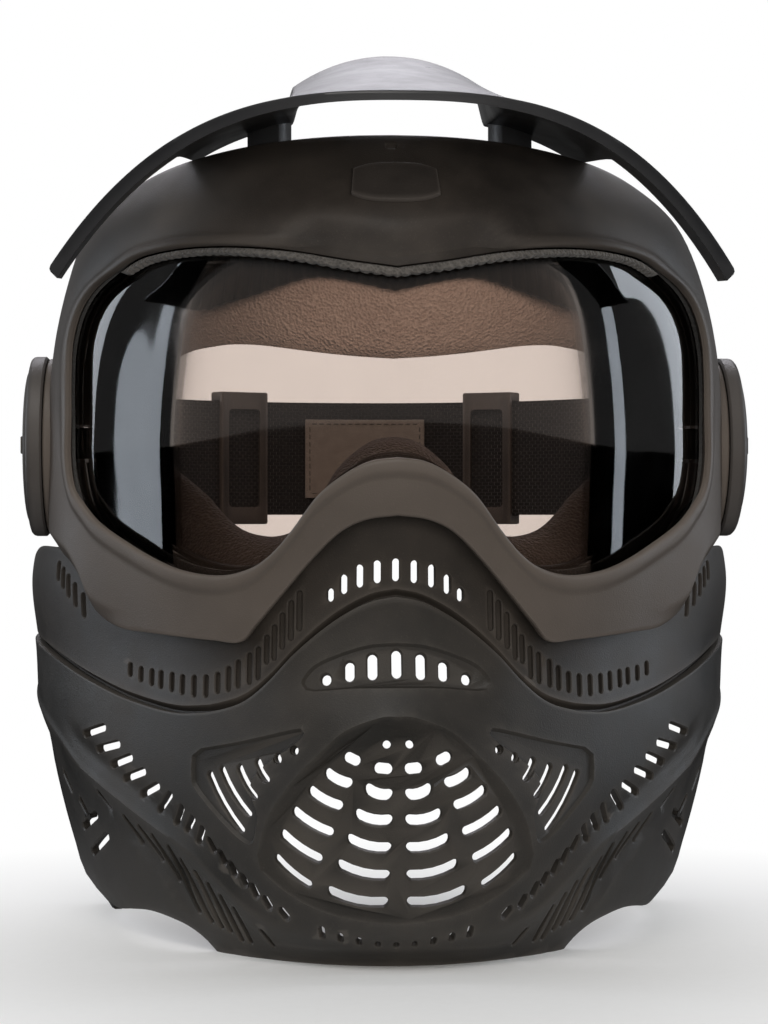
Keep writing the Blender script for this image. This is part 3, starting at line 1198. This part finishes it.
thread_finish = woven("patch_thread", (0.05, 0.045, 0.04), (0.1, 0.09, 0.08), 0.0005, 0.0002, 0.00004)
thread_piece = made(thread, "patch_stitches", thread_finish)
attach(thread_piece, "headband_unit")

# Strap sliders
# Moulded three-bar sliders that grip the two layers of the strap, with a window between their side bars
# and a short lip above and below the strap.
slider_r, slider_turn, slider_half, slider_tall, slider_low, slider_high = 90, 29, 9.5, 46.6, -1.8, 5.3
slot_low, slot_high, slot_half, window_half, window_tall = -0.3, 3.8, 20.3, 6.4, 34.6


def on_slider(p, side):
    """From the flat slider, along the strap, up and outwards, to its place."""
    r, a = slider_r + p[:, 2], math.radians(slider_turn) + p[:, 0] / slider_r
    return np.stack([side * r * np.sin(a), strap_cy + r * np.cos(a), pivot_z + p[:, 1]], 1)


slider_finish = moulding("slider_moulding", (0.03, 0.027, 0.025), (0.07, 0.06, 0.054), 0.45)
for name, side in (("left", 1), ("right", -1)):
    plate = blank(14, 4, lambda a, b: np.stack(
        [2 * slider_half * (a - 0.5), slider_tall * (b - 0.5), 0 * a + slider_high], 1))
    low = bmesh.ops.extrude_face_region(plate, geom=plate.faces[:])["geom"]
    bmesh.ops.translate(plate, vec=(0, 0, slider_low - slider_high), verts=only(BMVert, low))
    bmesh.ops.recalc_face_normals(plate, faces=plate.faces[:])
    softened(plate, 0.7)
    cutters = bmesh.new()
    box(cutters, (-12, -slot_half, slot_low), (12, slot_half, slot_high))
    slider = milled(plate, cutters)
    cutters = bmesh.new()
    box(cutters, (-window_half, -window_tall / 2, -9), (window_half, window_tall / 2, 12))
    softened(cutters, 1.5, 3)
    slider = milled(slider, cutters)
    moved(slider, lambda p: on_slider(p, side))
    slider_piece = made(slider, f"slider_frame_{name}", slider_finish)
    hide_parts(f"strap_slider_{name}")
    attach(slider_piece, f"slider_{name}")

# Floor and light
# A pale floor that fades to white round the mask, so that no horizon shows. The lens doesn't mirror the
# fill; two narrow lights at each side draw its streaks, and one behind lights the edge of the visor.
floor_mesh = bmesh.new()
bmesh.ops.create_grid(floor_mesh, x_segments=2, y_segments=2, size=6)
floor_finish = Finish("paper")
paper = floor_finish.mixed((0.84, 0.84, 0.83), (0.88, 0.88, 0.87), floor_finish.noise(300, 3))
floor_finish.set(Base_Color=paper, Roughness=0.75)
distance = floor_finish.node("ShaderNodeVectorMath", 1, {"operation": "LENGTH"},
                             Vector=floor_finish.places)
seen = floor_finish.node("ShaderNodeLightPath", "Is Camera Ray")
glow = floor_finish.node("ShaderNodeEmission", Color=(1, 1, 1, 1), Strength=seen)
floor_finish.blend(distance.above(0.02, 0.26), floor_finish.coat, glow)
floor_piece = made(floor_mesh, "floor", floor_finish.material, scale=1)


def soft_light(name, place, target, size, watts, colour=(1, 1, 1)):
    light = bpy.data.objects.new(name, bpy.data.lights.new(name, "AREA"))
    bpy.context.scene.collection.objects.link(light)
    light.data.shape = "RECTANGLE"
    light.data.size, light.data.size_y = size
    light.data.energy, light.data.color = watts, colour
    light.location = place
    light.rotation_euler = (Vector(target) - Vector(place)).to_track_quat("-Z", "Y").to_euler()
    return light


soft_light("key", (-0.25, -0.7, 1.2), (0, 0.03, 0.12), (0.8, 0.6), 6, (1, 0.97, 0.93))
fill = soft_light("fill", (0.1, -1.0, 0.14), (0, 0, 0.14), (1, 0.6), 10, (1, 0.965, 0.92))
fill.visible_glossy = False
for side in (1, -1):
    soft_light("streak_front", (side * 0.7, 0.0, 0.3), (0, 0.02, 0.15), (0.07, 0.6), 0.5, (0.82, 0.9, 1))
    soft_light("streak_back", (side * 0.66, 0.2, 0.25), (0, 0.02, 0.15), (0.16, 0.5), 1.1, (0.86, 0.92, 1))
soft_light("rim", (0, 0.75, 0.75), (0, 0.03, 0.2), (0.9, 0.3), 3, (0.95, 0.93, 1))
world = bpy.data.worlds.new("surround")
bpy.context.scene.world = world
world.use_nodes = True
tree = world.node_tree
seen = node(tree, "ShaderNodeLightPath", "Is Camera Ray")
put(tree, tree.nodes["Background"].inputs["Strength"], 0.16 + seen * 0.84)
put(tree, tree.nodes["Background"].inputs["Color"], (1, 1, 1, 1))
